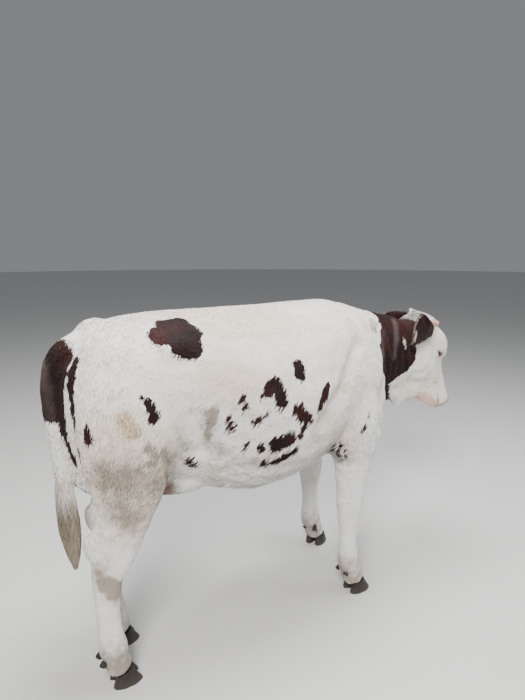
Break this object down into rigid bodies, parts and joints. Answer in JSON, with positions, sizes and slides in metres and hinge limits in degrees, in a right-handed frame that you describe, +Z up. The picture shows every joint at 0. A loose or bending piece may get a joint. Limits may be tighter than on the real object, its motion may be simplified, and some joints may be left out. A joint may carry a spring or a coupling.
{
  "type": "spotted cattle figure",
  "caption": "Life-size standing heifer with a spotted white and red-brown coat, lowered head, short horn buds and hanging tail.",
  "frame": {"origin": "middle of the base of the bounding box, on the floor", "axes": "+X to the muzzle, +Y to the animal's left, +Z up"},
  "size_m": [1.9048, 0.6358, 1.2587],
  "materials": {
    "coat_white": "short hair",
    "coat_dark": "short hair",
    "tail_hair": "long hair",
    "udder_skin": "soft skin",
    "horn": "satin horn",
    "hoof": "dull horn",
    "eye": "wet gloss"
  },
  "bodies": {
    "root": {"claw_fore_left_left": "hoof", "claw_fore_left_right": "hoof", "claw_fore_right_left": "hoof", "claw_fore_right_right": "hoof", "claw_hind_left_left": "hoof", "claw_hind_left_right": "hoof", "claw_hind_right_left": "hoof", "claw_hind_right_right": "hoof", "dewclaw_fore_left_left": "hoof", "dewclaw_fore_left_right": "hoof", "dewclaw_fore_right_left": "hoof", "dewclaw_fore_right_right": "hoof", "dewclaw_hind_left_left": "hoof", "dewclaw_hind_left_right": "hoof", "dewclaw_hind_right_left": "hoof", "dewclaw_hind_right_right": "hoof", "ear_left": "coat_dark", "ear_right": "coat_dark", "eye_left": "eye", "eye_right": "eye", "head": "coat_white", "horn_left": "horn", "horn_right": "horn", "leg_fore_left": "coat_white", "leg_fore_right": "coat_white", "leg_hind_left": "coat_white", "leg_hind_right": "coat_white", "neck": "coat_dark", "tail": "coat_dark", "tail_switch": "tail_hair", "torso": "coat_white", "udder": "udder_skin"}
  },
  "joints": []
}
